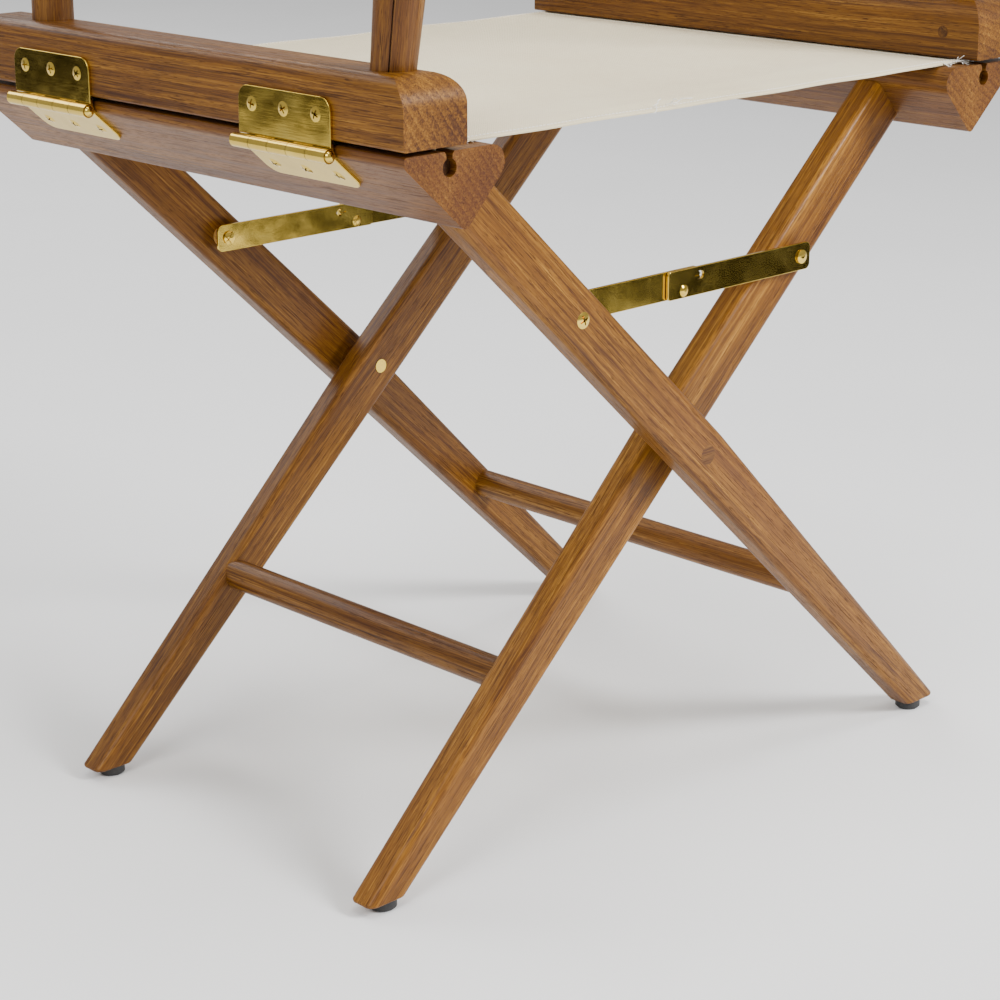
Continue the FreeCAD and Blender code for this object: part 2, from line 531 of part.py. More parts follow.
        # local x runs down the slope, local z along the outward normal
        ax, az = Vector(sx * SLOPE.x, 0, SLOPE.z), Vector(sx * NORMAL.x, 0, NORMAL.z)
        ay = az.cross(ax)
        m = FreeCAD.Matrix(ax.x, ay.x, az.x, 0, ax.y, ay.y, az.y, 0, ax.z, ay.z, az.z, 0, 0, 0, 0, 1)
        pl = Placement(m)
        pl.Base = Vector(sx * V["rail_out"], yc, V["rail_land"])
        body.Placement = pl
        tubes = [cyl_at(tag + "_lk", kr, seg - 0.36, (hx, y0 + i * seg + 0.18, hz), (0, 1, 0), D + "knuckle_radius") for i in (0, 2, 4)]
        clear = [cyl_at(tag + "_ln", kr + 0.5, seg + 0.0, (hx, y0 + i * seg, hz), (0, 1, 0)) for i in (1, 3)]
        plate = cut(tag + "_lower_notched", body, clear)
        whole = fuse(tag + "_lower_joined", [plate] + tubes)
        bore = cyl_at(tag + "_lower_pin_bore", pr, L + 10, (hx, y0 - 5, hz), (0, 1, 0), D + "pin_radius")
        holes = []
        for k in (-1, 0, 1):
            head, out = lower_screw(sx, yc, k)
            holes.append(screw_tool(tag + "_lower_sink%d" % (k + 1), head, out, V["screw_head"], 1.6, 6.0))
        node(cut(tag + "_lower_drilled", whole, [bore] + holes), tag + "_lower_leaf")
        # upper leaf: plate on the base rail's outer face with knuckles 2 and 4
        body = doc.addObject("PartDesign::Body", tag + "_upper_plate")
        sk = sketch_lines(body, tag + "_upper_outline", "YZ_Plane", [
            (-leaf / 2, hz + 0.5, None, None), (leaf / 2, hz + 0.5, None, None),
            (leaf / 2, V["leaf_high"], None, D + "leaf_high"), (-leaf / 2, V["leaf_high"], None, D + "leaf_high")])
        p = pad(body, sk, tag + "_upper_pad", lt, D + "leaf_thick")
        f = fillet(body, p, tag + "_upper_corners", V["leaf_corner"],
                   lambda e: abs(e.Vertexes[0].Point.x - e.Vertexes[-1].Point.x) > 1 and e.Vertexes[0].Point.z > hz + 10, D + "leaf_corner")
        xo = V["leaf_thick"] if sx > 0 else 0.0
        fillet(body, f, tag + "_upper_ease", 0.5,
               lambda e: abs(e.Vertexes[0].Point.x - xo) < 1e-6 and abs(e.Vertexes[-1].Point.x - xo) < 1e-6
               and max(e.Vertexes[0].Point.z, e.Vertexes[-1].Point.z) > hz + 0.6)
        place(body, V["base_out"] if sx > 0 else -V["base_out"] - lt, yc, 0,
              ex=(D + "base_out") if sx > 0 else "-" + D + "base_out - " + D + "leaf_thick")
        clear = [cyl_at(tag + "_un", kr + 0.5, seg + 0.0, (hx, y0 + i * seg, hz), (0, 1, 0)) for i in (0, 2, 4)]
        tubes = [cyl_at(tag + "_uk", kr, seg - 0.36, (hx, y0 + i * seg + 0.18, hz), (0, 1, 0), D + "knuckle_radius") for i in (1, 3)]
        plate = cut(tag + "_upper_notched", body, clear)
        whole = fuse(tag + "_upper_joined", [plate] + tubes)
        bore = cyl_at(tag + "_upper_pin_bore", pr + 0.05, L + 10, (hx, y0 - 5, hz), (0, 1, 0), D + "pin_radius + 0.05")
        holes = []
        for k in (-1, 0, 1):
            head, out = upper_screw(sx, yc, k)
            holes.append(screw_tool(tag + "_upper_sink%d" % (k + 1), head, out, V["screw_head"], 1.6, 6.0))
        node(cut(tag + "_upper_drilled", whole, [bore] + holes), tag + "_upper_leaf")
    # hinge pins with a low button head at the rear end
    pins = []
    for yc in (V["hinge_y"], -V["hinge_y"]):
        L = V["hinge_length"]
        hx, hz = sx * V["hinge_x"], V["hinge_z"]
        shaft = Part.makeCylinder(V["pin_radius"], L, Vector(hx, yc - L / 2, hz), Vector(0, 1, 0))
        head = Part.makeSphere(3.4, Vector(hx, yc + L / 2 - 1.0, hz)).common(
            Part.makeBox(10, 10, 10, Vector(hx - 5, yc + L / 2, hz - 5)))
        pins.append(shaft.fuse(head))
    group("hinge_pins_" + side_name, pins)
    turns = (12.0, 47.0, 75.0, 30.0, 63.0, 8.0)
    low, high = [], []
    j = 0
    for yc in (V["hinge_y"], -V["hinge_y"]):
        for k in (-1, 0, 1):
            a, b = lower_screw(sx, yc, k)
            low.append(screw_shape(a, b, V["screw_head"], 1.6, 12.0 - 0.5, 0.8, turns[j]))
            a, b = upper_screw(sx, yc, k)
            high.append(screw_shape(a, b, V["screw_head"], 1.6, 12.0 - 0.5, 0.8, turns[(j + 2) % 6]))
            j += 1
    group("hinge_screws_lower_" + side_name, low)
    group("hinge_screws_upper_" + side_name, high)

# --------------------------------------------------------------------- braces
# Each crossed pair is held open by two flat links joined in the middle.  The
# front link carries the stud side, the back link is screwed through its leg.
BR = V["brace_reach"]
BX, BZ = BR * US, ZP + BR * UC
MX, MZ = 0.0, BZ
LW, LT, TAIL = V["link_width"], V["link_thick"], V["link_tail"]


def link(label, x_pivot, y_back, front):
    """Flat bar from its leg pivot to just past the middle rivet."""
    s = 1.0 if x_pivot > 0 else -1.0
    body = doc.addObject("PartDesign::Body", label + "_bar")
    # local x from the pivot toward the middle, local y up
    sk = sketch_lines(body, label + "_outline", "XY_Plane", [
        (-LW / 2, -LW / 2, None, None), (abs(x_pivot) + TAIL, -LW / 2, D + "brace_reach * sin(" + D + "leg_lean * 1deg) + " + D + "link_tail", None),
        (abs(x_pivot) + TAIL, LW / 2, D + "brace_reach * sin(" + D + "leg_lean * 1deg) + " + D + "link_tail", None), (-LW / 2, LW / 2, None, None)])
    p = pad(body, sk, label + "_pad", LT, D + "link_thick")
    f = fillet(body, p, label + "_pivot_end", 4.2, lambda e: abs(e.Vertexes[0].Point.z - e.Vertexes[-1].Point.z) > 1 and e.Vertexes[0].Point.x < 0)
    f = fillet(body, f, label + "_middle_end", 2.5, lambda e: abs(e.Vertexes[0].Point.z - e.Vertexes[-1].Point.z) > 1 and e.Vertexes[0].Point.x > 50)
    fillet(body, f, label + "_ease", 0.35, lambda e: abs(e.Vertexes[0].Point.z - e.Vertexes[-1].Point.z) < 1e-6)
    if s < 0:
        # local z must stay +Y: x -> +X, y -> +Z gives z -> -Y, so flip
        m = FreeCAD.Matrix(1, 0, 0, 0, 0, 0, -1, 0, 0, 1, 0, 0, 0, 0, 0, 1)
        y0 = y_back + LT
    else:
        m = FreeCAD.Matrix(-1, 0, 0, 0, 0, 0, 1, 0, 0, 1, 0, 0, 0, 0, 0, 1)
        y0 = y_back
    pl = Placement(m)
    pl.Base = Vector(x_pivot, y0, BZ)
    body.Placement = pl
    tools = [cyl_at(label + "_pivot_hole", 2.55, 12.0, (x_pivot, y_back - 5, BZ), (0, 1, 0))]
    if front:
        # slot of the stop pin
        sxp = -s * 15.0 + 0.0
        a = cyl_at(label + "_slot_a", 2.7, 12.0, (MX + s * 14.5 - s * 1.6, y_back - 5, MZ + 3.6), (0, 1, 0))
        b = cyl_at(label + "_slot_b", 2.7, 12.0, (MX + s * 14.5 + s * 1.6, y_back - 5, MZ + 3.6), (0, 1, 0))
        c = box_at(label + "_slot_c", 3.2, 12.0, 5.4, (MX + s * 14.5 - 1.6, y_back - 5, MZ + 3.6 - 2.7))
        tools += [a, b, c]
    return node(cut(label + "_drilled", body, tools), label)


def dome(centre, direction, r, h_):
    o = Vector(*direction)
    big = (r * r + h_ * h_) / (2.0 * h_)
    cap = Part.makeSphere(big, Vector(0, 0, h_ - big)).common(Part.makeCylinder(r, h_ + 1.0))
    cap.Placement = Placement(Vector(*centre), Rotation(Vector(0, 0, 1), o))
    return cap


# y of the two link planes: the rear brace leans on the inner leg's outer face,
# the front brace is the same assembly shifted, leaning on the outer leg's
# inner face.
for end_name, y_ref, stud_x, screw_x in (("rear", YBO, -BX, BX), ("front", -YAI, BX, -BX)):
    front_y = y_ref + 6.8
    back_y = y_ref + 4.4
    a_or_b = ("inner", "outer") if end_name == "rear" else ("outer", "inner")
    link("brace_link_%s_%s" % (end_name, a_or_b[0]), stud_x, front_y, True)
    link("brace_link_%s_%s" % (end_name, a_or_b[1]), screw_x, back_y, False)
    # stud with shoulder head, and its spacer
    shank = Part.makeCylinder(2.5, 13.0 + 9.1, Vector(stud_x, y_ref - 13.0, BZ), Vector(0, 1, 0))
    rim = Part.makeCylinder(4.6, 0.8, Vector(stud_x, y_ref + 9.1, BZ), Vector(0, 1, 0))
    cap = dome((stud_x, y_ref + 9.9, BZ), (0, 1, 0), 4.6, 0.9)
    group("brace_stud_" + end_name, [shank.fuse([rim, cap])])
    sp = cyl_at("brace_stud_spacer_%s_ring" % end_name, V["spacer_radius"], 6.45, (stud_x, y_ref, BZ), (0, 1, 0), D + "spacer_radius")
    bo = cyl_at("brace_stud_spacer_%s_bore" % end_name, 2.5, 20.0, (stud_x, y_ref - 5, BZ), (0, 1, 0))
    node(cut("brace_stud_spacer_%s_tube" % end_name, sp, [bo]), "brace_stud_spacer_" + end_name)
    # through screw, its spacer and riveted end
    face = YAO if end_name == "rear" else -YBI
    far = y_ref + 4.1
    screw = screw_shape((screw_x, face, BZ), (0, 1, 0), 5.2, 2.5, face - far + 1.6, 1.0, 24.0)
    tail = Part.makeCylinder(4.6, 1.4, Vector(screw_x, far - 1.6, BZ), Vector(0, 1, 0))
    group("brace_screw_" + end_name, [screw.fuse(tail)])
    inner_face = YAI if end_name == "rear" else -YBO
    sp = cyl_at("brace_screw_spacer_%s_ring" % end_name, V["spacer_radius"], inner_face - (back_y + LT + 0.35),
                (screw_x, back_y + LT + 0.35, BZ), (0, 1, 0), D + "spacer_radius")
    bo = cyl_at("brace_screw_spacer_%s_bore" % end_name, 2.5, 20.0, (screw_x, back_y, BZ), (0, 1, 0))
    node(cut("brace_screw_spacer_%s_tube" % end_name, sp, [bo]), "brace_screw_spacer_" + end_name)
    # middle rivet head and stop pin seated on the front link
    sgn = 1.0 if stud_x > 0 else -1.0
    rivet = dome((MX, front_y + LT, MZ - 4.6), (0, 1, 0), 3.9, 1.3)
    pin = Part.makeCylinder(2.7, LT, Vector(sgn * 12.9, front_y, MZ + 3.6), Vector(0, 1, 0))
    pin = pin.cut(Part.makeBox(8.0, 2.0, 1.0, Vector(sgn * 12.9 - 4.0, front_y + LT - 0.9, MZ + 3.1)))
    rear_rivet = dome((MX, back_y, MZ - 4.6), (0, -1, 0), 3.9, 1.2)
    group("brace_rivet_head_" + end_name, [rivet, pin])
    group("brace_rivet_tail_" + end_name, [rear_rivet])

# ---------------------------------------------------------------------- cloth
zt = V["rail_top"]
slab = box_at("seat_canvas_slab", 2 * V["key_x"] + 3.0, V["cloth_back"] - V["cloth_front"], V["cloth_thick"],
              (-V["key_x"] - 1.5, V["cloth_front"], zt + 0.6))
slab.setExpression("Length", "2 * " + D + "key_x + 3")
slab.setExpression("Width", D + "cloth_back - " + D + "cloth_front")
slab.setExpression("Height", D + "cloth_thick")
fin_l = box_at("seat_canvas_fin_left", 2.0, V["cloth_back"] - V["cloth_front"], 7.0, (V["key_x"] - 1.0, V["cloth_front"], zt - 6.0))
fin_r = box_at("seat_canvas_fin_right", 2.0, V["cloth_back"] - V["cloth_front"], 3.0, (-V["key_x"] - 1.0, V["cloth_front"], zt - 2.0))
rod_clear = cyl_at("seat_canvas_rod_clear", V["key_radius"], 500.0, (V["key_x"], -250, V["key_z"]), (0, 1, 0), D + "key_radius")
node(cut("seat_canvas_hemmed", fuse("seat_canvas_whole", [slab, fin_l, fin_r]), [rod_clear]), "seat_canvas")

z_lo, z_hi = V["back_low"], V["back_high"]
hgt = (z_hi - z_lo) / math.cos(LB)
r_in, r_out = 11.0, 11.0 + V["sleeve_wall"]
px = V["post_x"]
start = Vector(0, back_axis(z_lo), z_lo)
parts_ = []
for sx in (1, -1):
    parts_.append(cyl_at("back_canvas_sleeve", r_out + (0.0 if sx > 0 else 0.5), hgt, (sx * px, start.y, z_lo), tuple(BDIR)))
sheet_box = box_at("back_canvas_panel", 2 * px, 2.0, hgt, (-px, 0, 0))
# the panel runs along the rear side of the sleeves
sheet_box.Placement = Placement(Vector(0, start.y, z_lo), Rotation(Vector(0, 0, 1), BDIR)).multiply(
    Placement(Vector(-px, r_out - 2.0, 0), Rotation()))
tools = [cyl_at("back_canvas_bore_left", r_in, hgt + 40, tuple(Vector(px, start.y, z_lo) - BDIR * 20), tuple(BDIR)),
         cyl_at("back_canvas_bore_right", r_in + 0.5, hgt + 40, tuple(Vector(-px, start.y, z_lo) - BDIR * 20), tuple(BDIR))]
node(cut("back_canvas_sewn", fuse("back_canvas_whole", parts_ + [sheet_box]), tools), "back_canvas")

# ------------------------------------------------------------------ validation
doc.recompute()
bad = []
for o in doc.Objects:
    state = [str(x) for x in o.State]
    if "Invalid" in state or "Error" in state:
        bad.append("%s (%s)" % (o.Name, o.Label))
for o in NODES:
    if o.Shape.isNull() or not o.Shape.isValid() or o.Shape.Volume <= 0:
        bad.append("shape of " + o.Label)
if bad:
    raise RuntimeError("failed objects: " + ", ".join(bad))
for o in NODES:
    o.Shape.exportStep("parts/%s.step" % o.Label)
print("nodes", len(NODES))
for o in NODES:
    bb = o.Shape.BoundBox
    print("%-28s solids %d vol %9.1f  x %.1f..%.1f y %.1f..%.1f z %.1f..%.1f" % (
        o.Label, len(o.Shape.Solids), o.Shape.Volume, bb.XMin, bb.XMax, bb.YMin, bb.YMax, bb.ZMin, bb.ZMax))
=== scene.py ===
import math
import random

import bpy
import numpy as np
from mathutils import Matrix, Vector


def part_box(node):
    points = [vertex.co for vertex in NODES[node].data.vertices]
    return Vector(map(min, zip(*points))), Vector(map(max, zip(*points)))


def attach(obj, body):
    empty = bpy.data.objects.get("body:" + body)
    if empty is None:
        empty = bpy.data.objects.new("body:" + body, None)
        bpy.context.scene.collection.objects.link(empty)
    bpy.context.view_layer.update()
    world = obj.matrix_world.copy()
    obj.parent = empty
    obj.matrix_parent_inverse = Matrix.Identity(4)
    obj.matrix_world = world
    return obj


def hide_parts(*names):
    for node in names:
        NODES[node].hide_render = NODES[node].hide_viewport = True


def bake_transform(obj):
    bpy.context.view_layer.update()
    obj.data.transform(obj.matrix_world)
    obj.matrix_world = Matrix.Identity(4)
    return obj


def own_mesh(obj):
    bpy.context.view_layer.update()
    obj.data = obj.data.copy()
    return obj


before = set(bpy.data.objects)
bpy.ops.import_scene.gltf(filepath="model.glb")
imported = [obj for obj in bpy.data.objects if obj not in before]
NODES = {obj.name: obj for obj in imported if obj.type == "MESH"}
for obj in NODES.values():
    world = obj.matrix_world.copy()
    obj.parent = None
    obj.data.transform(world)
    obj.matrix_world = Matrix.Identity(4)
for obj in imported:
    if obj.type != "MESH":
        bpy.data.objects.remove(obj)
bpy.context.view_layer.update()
random.seed(11)

LEAN = math.radians(47.2)
ALONG = {
    "x": Vector((1, 0, 0)),
    "y": Vector((0, 1, 0)),
    "z": Vector((0, 0, 1)),
    "outer": Vector((math.sin(LEAN), 0, math.cos(LEAN))),
    "inner": Vector((-math.sin(LEAN), 0, math.cos(LEAN))),
    "post": Vector((0, math.sin(math.radians(8)), math.cos(math.radians(8)))),
}


# ------------------------------------------------------------------ shader help
class Graph:
    """A material's node tree, built with short calls."""

    def __init__(self, name):
        self.mat = bpy.data.materials.new(name)
        self.mat.use_nodes = True
        self.tree = self.mat.node_tree
        self.tree.nodes.clear()
        self.bsdf = self.tree.nodes.new("ShaderNodeBsdfPrincipled")
        out = self.tree.nodes.new("ShaderNodeOutputMaterial")
        self.tree.links.new(self.bsdf.outputs[0], out.inputs["Surface"])

    def node(self, kind, **props):
        n = self.tree.nodes.new(kind)
        for k, v in props.items():
            setattr(n, k, v)
        return n

    def put(self, value, socket):
        if isinstance(value, bpy.types.NodeSocket):
            self.tree.links.new(value, socket)
        else:
            socket.default_value = value

    def math(self, op, a, b=0.0, c=0.0, clamp=False):
        n = self.node("ShaderNodeMath", operation=op, use_clamp=clamp)
        for s, v in zip(n.inputs, (a, b, c)):
            self.put(v, s)
        return n.outputs[0]

    def mapping(self, vector, location=(0, 0, 0), rotation=(0, 0, 0), scale=(1, 1, 1)):
        n = self.node("ShaderNodeMapping")
        self.put(vector, n.inputs["Vector"])
        n.inputs["Location"].default_value = location
        n.inputs["Rotation"].default_value = rotation
        n.inputs["Scale"].default_value = scale
        return n.outputs[0]

    def noise(self, vector, scale=1.0, detail=4.0, rough=0.55, distortion=0.0):
        n = self.node("ShaderNodeTexNoise")
        self.put(vector, n.inputs["Vector"])
        n.inputs["Scale"].default_value = scale
        n.inputs["Detail"].default_value = detail
        n.inputs["Roughness"].default_value = rough
        n.inputs["Distortion"].default_value = distortion
        return n.outputs[0]

    def ramp(self, value, stops):
        n = self.node("ShaderNodeValToRGB")
        while len(n.color_ramp.elements) < len(stops):
            n.color_ramp.elements.new(0.5)
        for e, (p, c) in zip(n.color_ramp.elements, stops):
            e.position = p
            e.color = (*c, 1) if len(c) == 3 else c
        self.put(value, n.inputs[0])
        return n.outputs[0]

    def span(self, value, lo, hi, to_lo=0.0, to_hi=1.0):
        n = self.node("ShaderNodeMapRange")
        self.put(value, n.inputs["Value"])
        for k, v in (("From Min", lo), ("From Max", hi), ("To Min", to_lo), ("To Max", to_hi)):
            n.inputs[k].default_value = v
        return n.outputs[0]

    def mix(self, kind, factor, a, b):
        n = self.node("ShaderNodeMix", data_type="RGBA", blend_type=kind)
        self.put(factor, n.inputs[0])
        self.put(a, n.inputs[6])
        self.put(b, n.inputs[7])
        return n.outputs[2]

    def bump(self, height, strength, distance, normal=None):
        n = self.node("ShaderNodeBump")
        self.put(height, n.inputs["Height"])
        n.inputs["Strength"].default_value = strength
        n.inputs["Distance"].default_value = distance
        if normal is not None:
            self.put(normal, n.inputs["Normal"])
        return n.outputs[0]

    def coords(self, kind="Object"):
        return self.node("ShaderNodeTexCoord").outputs[kind]

    def set(self, **values):
        for k, v in values.items():
            self.put(v, self.bsdf.inputs[k.replace("_", " ")])


def grey(v):
    return (v, v, v, 1)


# ------------------------------------------------------------------ finishes
def wood(name, grain, seed, tone_and_shade=1.0, red=0.0):
    """Oiled teak: warm brown with dark growth streaks and short open pores, grain along one direction; the tone factor
    scales the whole colour, the wood's own tone together with painted light and shade that differ from part to part.
    """
    g = Graph(name)
    rnd = random.Random(seed)
    turn = ALONG[grain].rotation_difference(Vector((1, 0, 0))).to_euler()
    base = g.mapping(
        g.coords(),
        location=(rnd.uniform(-3, 3), rnd.uniform(-2, 2), rnd.uniform(-2, 2)),
        rotation=tuple(turn),
    )
    # slow bending of the fibres, so no streak is ruler straight
    drift = g.noise(g.mapping(base, scale=(2.0, 7, 7)), 1.0, 2.0, 0.45)
    wander = g.node("ShaderNodeVectorMath", operation="MULTIPLY_ADD")
    g.put(drift, wander.inputs[0])
    wander.inputs[1].default_value = (0.0, 0.016, 0.014)
    g.put(base, wander.inputs[2])
    fibre = wander.outputs[0]

    broad = g.noise(g.mapping(fibre, scale=(1.3, 26, 26)), 1.0, 4.0, 0.55, 0.2)
    streak = g.noise(g.mapping(fibre, scale=(4.5, 380, 380)), 1.0, 6.0, 0.66)
    fine = g.noise(g.mapping(fibre, scale=(15, 1100, 1100)), 1.0, 4.0, 0.68)
    # growth rings about a heart that lies outside the piece
    ring = g.node("ShaderNodeTexWave", wave_type="RINGS", rings_direction="X", wave_profile="SAW")
    g.put(
        g.mapping(fibre, location=(0, rnd.uniform(0.05, 0.10), rnd.uniform(0.03, 0.08)), scale=(0.35, 1, 1)),
        ring.inputs["Vector"],
    )
    ring.inputs["Scale"].default_value = rnd.uniform(52, 70)
    ring.inputs["Distortion"].default_value = 1.6
    ring.inputs["Detail"].default_value = 3.0
    ring.inputs["Detail Scale"].default_value = 1.4
    rings = g.span(ring.outputs["Fac"], 0.15, 1.0)
    # short dark pores: long thin cells kept only where the noise peaks
    pore_a = g.noise(g.mapping(fibre, scale=(34, 1250, 1250)), 1.0, 2.0, 0.5)
    pore_b = g.noise(g.mapping(fibre, scale=(120, 2300, 2300)), 1.0, 1.0, 0.5)
    pores = g.math("MAXIMUM", g.span(pore_a, 0.565, 0.64), g.span(pore_b, 0.585, 0.67), clamp=True)
    pores = g.math("MULTIPLY", pores, g.span(streak, 0.38, 0.60, 0.30, 1.0), clamp=True)

    t = g.math("MULTIPLY_ADD", broad, 0.30, g.math("MULTIPLY", streak, 0.38))
    t = g.math("MULTIPLY_ADD", fine, 0.36, t)
    t = g.math("MULTIPLY_ADD", rings, -0.050, t)
    # sawn ends show the rings as fine curved lines in place of streaks
    across = g.node("ShaderNodeVectorMath", operation="DOT_PRODUCT")
    g.put(g.coords("Normal"), across.inputs[0])
    across.inputs[1].default_value = tuple(ALONG[grain])
    end = g.math("MULTIPLY", g.span(g.math("ABSOLUTE", across.outputs["Value"]), 0.62, 0.90), 1.0, clamp=True)
    speck = g.noise(g.mapping(base, scale=(700, 700, 700)), 1.0, 3.0, 0.6)
    cut = g.math("MULTIPLY_ADD", rings, -0.070, g.math("MULTIPLY_ADD", speck, 0.40, g.math("MULTIPLY", broad, 0.34)))
    cut = g.math("ADD", cut, 0.150)
    t = g.math("MULTIPLY_ADD", g.math("SUBTRACT", cut, t), end, t)
    # the tone factor in these stops darkens the parts that lie farther back in the chair's shade: painted shade on top
    # of the wood's own tone
    colour = g.ramp(
        g.span(t, 0.385, 0.635),
        [
            (0.00, (0.050 * tone_and_shade, 0.014 * tone_and_shade, 0.0010 * tone_and_shade)),
            (0.24, (0.098 * tone_and_shade, 0.034 * tone_and_shade, 0.0022 * tone_and_shade)),
            (0.50, (0.162 * tone_and_shade, 0.063 * tone_and_shade, 0.0046 * tone_and_shade)),
            (0.76, (0.240 * tone_and_shade, 0.101 * tone_and_shade, 0.0100 * tone_and_shade)),
            (1.00, (0.370 * tone_and_shade, 0.180 * tone_and_shade, 0.0250 * tone_and_shade)),
        ],
    )
    dirt = g.noise(g.mapping(base, scale=(5, 14, 14)), 1.0, 5.0, 0.6, 0.6)
    colour = g.mix("MIX", g.span(dirt, 0.45, 0.75, 0.0, 0.30), colour, (0.185 * tone_and_shade, 0.060 * tone_and_shade, 0.008 * tone_and_shade, 1))
    if red:
        colour = g.mix("MIX", red, colour, (0.120, 0.031, 0.008, 1))
    colour = g.mix("MULTIPLY", g.math("MULTIPLY", pores, 0.80), colour, (0.20, 0.12, 0.08, 1))
    height = g.math("MULTIPLY_ADD", pores, -1.0, g.math("MULTIPLY", fine, 0.35))
    g.set(
        Base_Color=colour,
        Roughness=g.math("MULTIPLY_ADD", pores, 0.22, g.span(streak, 0.3, 0.7, 0.40, 0.50)),
        IOR=1.42,
        Specular_IOR_Level=0.26,
        Coat_Weight=0.16,
        Coat_Roughness=0.22,
        Normal=g.bump(height, 0.30, 0.00035),
    )
    return g.mat


def brass(name, seed=0):
    """Polished brass with hairlines from the polishing wheel, faint smudges and soft dents."""
    g = Graph(name)
    p = g.coords()
    lines = g.noise(g.mapping(p, scale=(900, 60, 900), location=(seed, 0, 0)), 1.0, 3.0, 0.6)
    smear = g.noise(p, 38.0, 4.0, 0.55, 0.4)
    dent = g.noise(p, 55.0, 1.0, 0.4)
    colour = g.ramp(
        g.math("MULTIPLY_ADD", smear, 0.8, g.math("MULTIPLY", lines, 0.2)),
        [(0.25, (0.600, 0.400, 0.060)), (0.55, (0.700, 0.490, 0.090)), (0.85, (0.790, 0.590, 0.150))],
    )
    g.set(
        Base_Color=colour,
        Metallic=1.0,
        Roughness=g.math("MULTIPLY_ADD", lines, 0.06, g.span(smear, 0.3, 0.8, 0.07, 0.15)),
        Normal=g.bump(dent, 0.16, 0.0012, g.bump(lines, 0.05, 0.0002)),
    )
    return g.mat


def rubber(name):
    g = Graph(name)
    p = g.coords()
    grain = g.noise(p, 900.0, 5.0, 0.65)
    dust = g.noise(p, 90.0, 4.0, 0.6)
    g.set(
        Base_Color=g.ramp(dust, [(0.35, (0.012, 0.012, 0.013)), (0.75, (0.040, 0.038, 0.036))]),
        Roughness=g.span(dust, 0.3, 0.8, 0.52, 0.78),
        Normal=g.bump(grain, 0.35, 0.0004),
    )
    return g.mat


def amber(name):
    g = Graph(name)
    p = g.coords()
    haze = g.noise(p, 260.0, 4.0, 0.6)
    g.set(
        Base_Color=g.ramp(haze, [(0.3, (0.36, 0.17, 0.035)), (0.8, (0.60, 0.33, 0.085))]),
        Roughness=g.span(haze, 0.3, 0.8, 0.22, 0.38),
        Subsurface_Weight=0.35,
        Subsurface_Radius=(0.004, 0.002, 0.0008),
        Subsurface_Scale=0.6,
        IOR=1.5,
        Normal=g.bump(haze, 0.1, 0.0003),
    )
    return g.mat


def cloth(name, warm=0.0):
    """Natural cotton duck: plain weave drawn from the cut's own flat coordinates, with slubs and flecks."""
    g = Graph(name)
    uv = g.node("ShaderNodeUVMap", uv_map="cut").outputs[0]
    sep = g.node("ShaderNodeSeparateXYZ")
    g.put(uv, sep.inputs[0])
    u, v = sep.outputs[0], sep.outputs[1]
    wob = g.noise(uv, 26.0, 3.0, 0.5)
    pitch = 0.00086
    su = g.math("SINE", g.math("MULTIPLY", g.math("MULTIPLY_ADD", wob, 0.0010, u), math.pi / pitch))
    sv = g.math("SINE", g.math("MULTIPLY", g.math("MULTIPLY_ADD", wob, 0.0012, v), math.pi / pitch))
    over = g.math("MULTIPLY", su, sv)
    yarns = g.math("MAXIMUM", g.math("ABSOLUTE", su), g.math("ABSOLUTE", sv))
    weave = g.math("MULTIPLY_ADD", over, 0.35, g.math("MULTIPLY", yarns, 0.65))
    slub_u = g.noise(g.mapping(uv, scale=(30, 1200, 1)), 1.0, 3.0, 0.6)
    slub_v = g.noise(g.mapping(uv, scale=(1200, 30, 1)), 1.0, 3.0, 0.6)
    slub = g.math("MAXIMUM", slub_u, slub_v)
    cloud = g.noise(uv, 9.0, 5.0, 0.6)
    flecks = g.span(g.noise(g.mapping(uv, scale=(650, 480, 1)), 1.0, 1.0, 0.5), 0.74, 0.80)
    t = g.math("MULTIPLY_ADD", weave, 0.25, g.math("MULTIPLY", slub, 0.45))
    t = g.math("MULTIPLY_ADD", cloud, 0.30, t)
    colour = g.ramp(
        t,
        [
            (0.28, (0.590 + warm, 0.478, 0.285)),
            (0.50, (0.775, 0.662, 0.425)),
            (0.72, (0.850, 0.755, 0.535)),
        ],
    )
    colour = g.mix("MIX", g.math("MULTIPLY", flecks, 0.45), colour, (0.30, 0.22, 0.13, 1))
    height = g.math("MULTIPLY_ADD", slub, 0.5, weave)
    g.set(
        Base_Color=colour,
        Roughness=g.span(slub, 0.3, 0.7, 0.82, 0.94),
        Sheen_Weight=0.18,
        Sheen_Roughness=0.5,
        Normal=g.bump(height, 0.85, 0.00034),
    )
    return g.mat


def thread(name):
    g = Graph(name)
    twist = g.noise(g.coords(), 2600.0, 2.0, 0.5)
    g.set(
        Base_Color=g.ramp(twist, [(0.3, (0.80, 0.77, 0.70)), (0.7, (0.93, 0.91, 0.86))]),
        Roughness=g.span(twist, 0.3, 0.7, 0.7, 0.88),
        Normal=g.bump(twist, 0.5, 0.0002),
    )
    return g.mat


BRASS = [brass("polished_brass_%d" % i, i * 3.1) for i in range(3)]
RUBBER, AMBER = rubber("black_rubber"), amber("amber_plastic")
CANVAS, THREAD = cloth("natural_canvas"), thread("white_thread")


def paint(node, mat, slot):
    o = NODES[node]
    for i in range(max(1, len(o.material_slots))):
        if len(o.material_slots) == 0:
            o.data.materials.append(mat)
        else:
            o.material_slots[i].material = mat
